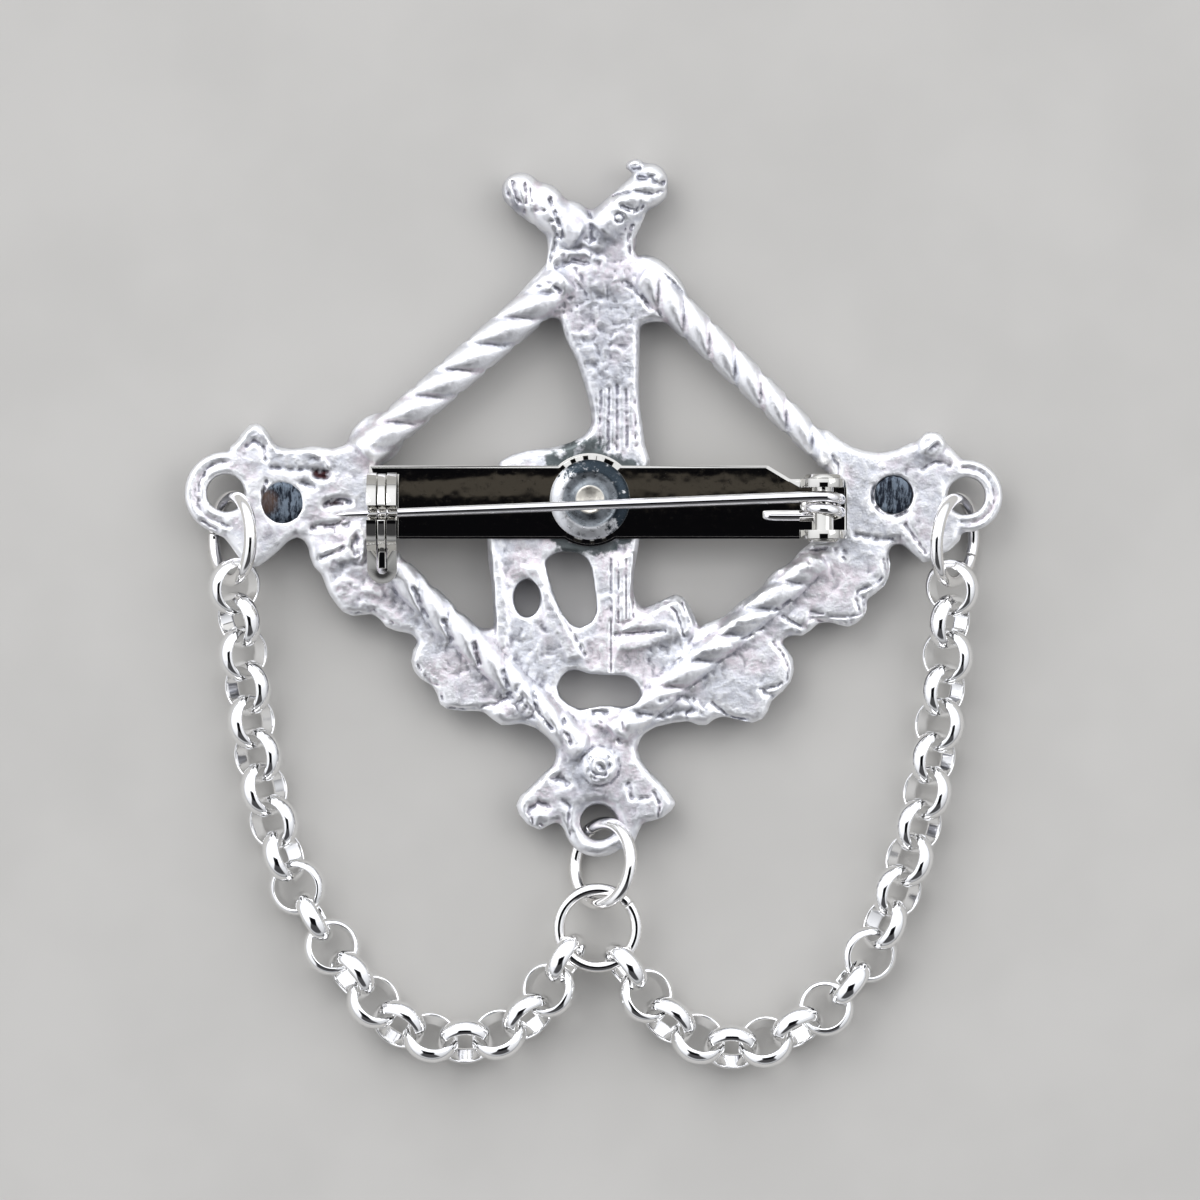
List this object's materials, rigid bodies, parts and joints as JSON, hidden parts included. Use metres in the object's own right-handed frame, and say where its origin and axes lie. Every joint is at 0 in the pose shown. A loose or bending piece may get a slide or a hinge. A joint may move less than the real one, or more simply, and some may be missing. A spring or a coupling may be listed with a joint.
{
  "type": "lapel chain",
  "caption": "Pierced cast lapel brooch with rope-twist arms, a back pin bar with hinged pin and turning safety catch, and two rolo chains that drape from side lugs to a bottom ring.",
  "frame": {"origin": "on the flat front face that the brooch lies on, level with the pin bar and near the middle of its width", "axes": "+Z out of the pinned back, +Y up to the rope horns, +X to the right seen from the back, towards the hinge"},
  "size_m": [0.0654, 0.0722, 0.0103],
  "materials": {
    "cast_metal": "matte bright silver-tone casting with hammered and ribbed fields",
    "set_pin_metal": "rough slate-grey pin end",
    "bar_metal": "polished nickel",
    "rivet_metal": "polished turned head",
    "catch_metal": "polished nickel",
    "pin_metal": "drawn steel wire",
    "ring_metal": "polished silver-tone wire",
    "chain_metal": "polished silver-tone links"
  },
  "bodies": {
    "brooch": {"brooch_casting": "cast_metal", "left_rivet": "set_pin_metal", "right_rivet": "set_pin_metal", "pin_bar": "bar_metal", "bar_rivet": "rivet_metal", "hinge_rivet": "bar_metal", "left_lug_ring": "ring_metal", "right_lug_ring": "ring_metal", "upper_drop_ring": "ring_metal", "lower_drop_ring": "ring_metal", "chain_left": "chain_metal", "chain_right": "chain_metal"},
    "pin": {"pin_stem": "pin_metal"},
    "rotor": {"catch_rotor": "catch_metal"}
  },
  "joints": [
    {"name": "pin_hinge", "type": "hinge", "parent": "brooch", "child": "pin", "pos_m": [0.018, 0.00024, 0.00583], "axis": [0, 1, 0], "range_deg": [0, 80]},
    {"name": "catch_turn", "type": "hinge", "parent": "brooch", "child": "rotor", "pos_m": [-0.01704, -0.00111, 0.00719], "axis": [1, 0, 0], "range_deg": [-85, 0]}
  ]
}
